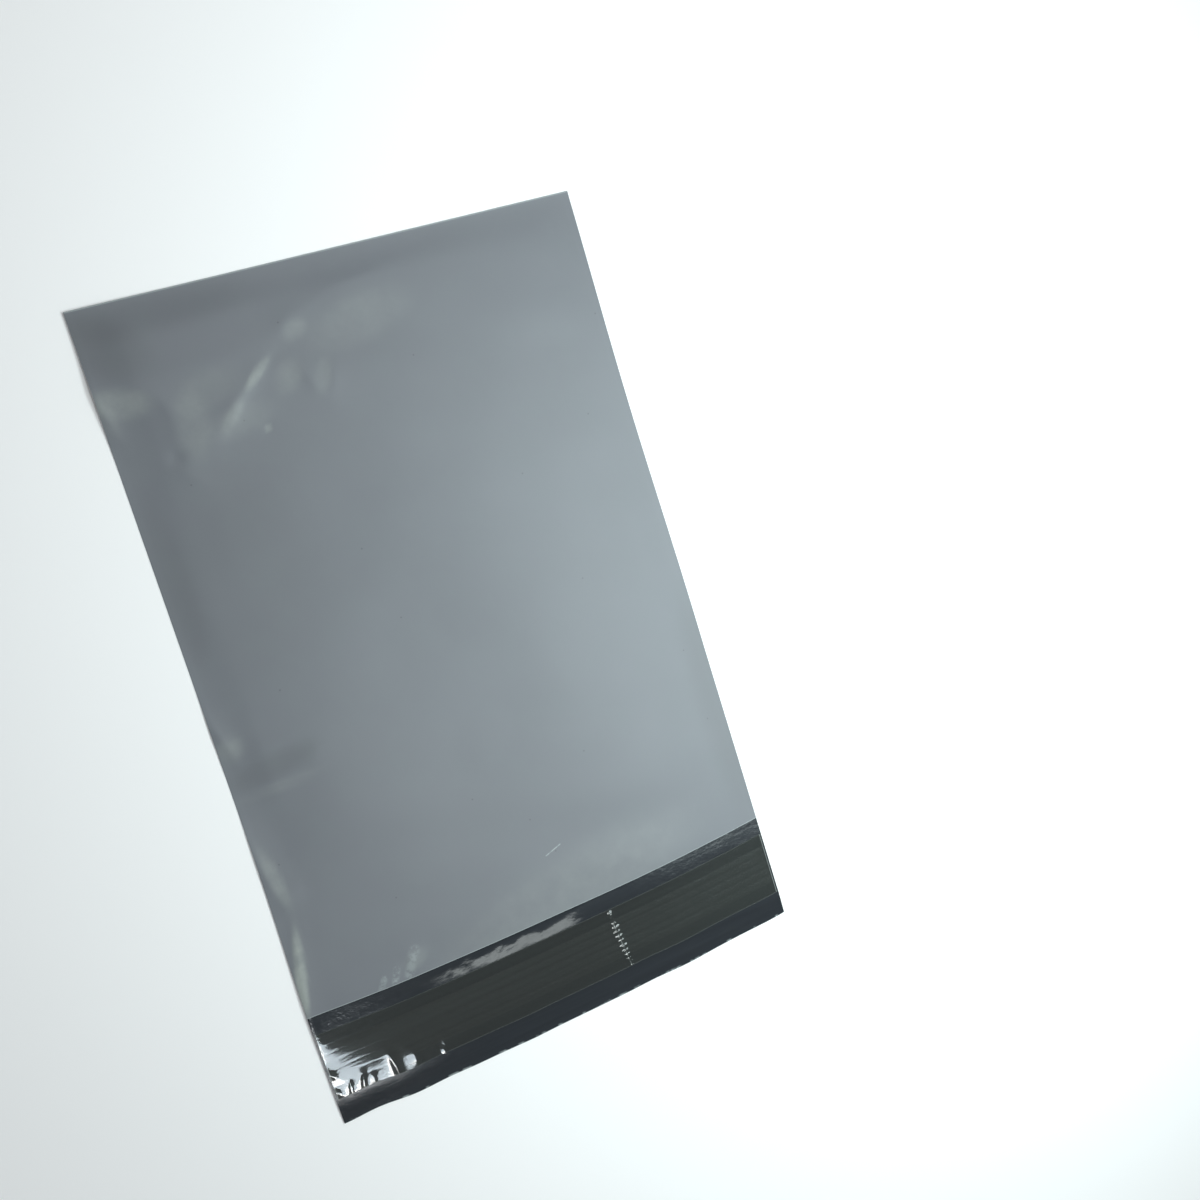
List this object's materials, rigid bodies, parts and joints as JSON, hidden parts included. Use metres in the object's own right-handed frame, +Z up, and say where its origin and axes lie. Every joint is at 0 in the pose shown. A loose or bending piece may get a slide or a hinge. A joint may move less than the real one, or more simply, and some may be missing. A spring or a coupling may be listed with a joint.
{
  "type": "poly mailer bag",
  "caption": "Flat grey plastic mailing bag with fused sides, a folded closed end, an open mouth and a closing lip with an adhesive strip under a clear release liner.",
  "frame": {"origin": "under the middle of the bag, on the surface that it lies on", "axes": "+Y towards the closed end, +X across the bag to the right of someone who reads the label face with the closed end up, +Z up out of the label face"},
  "size_m": [0.254, 0.4, 0.0004],
  "materials": {
    "film": "satin grey outside, charcoal inside",
    "adhesive": "tacky hot-melt in lengthwise beads, seen dark through the liner",
    "liner": "clear glossy film, slightly wrinkled"
  },
  "bodies": {
    "root": {"mailer_film": "film", "adhesive_strip": "adhesive", "release_liner": "liner"}
  },
  "joints": []
}
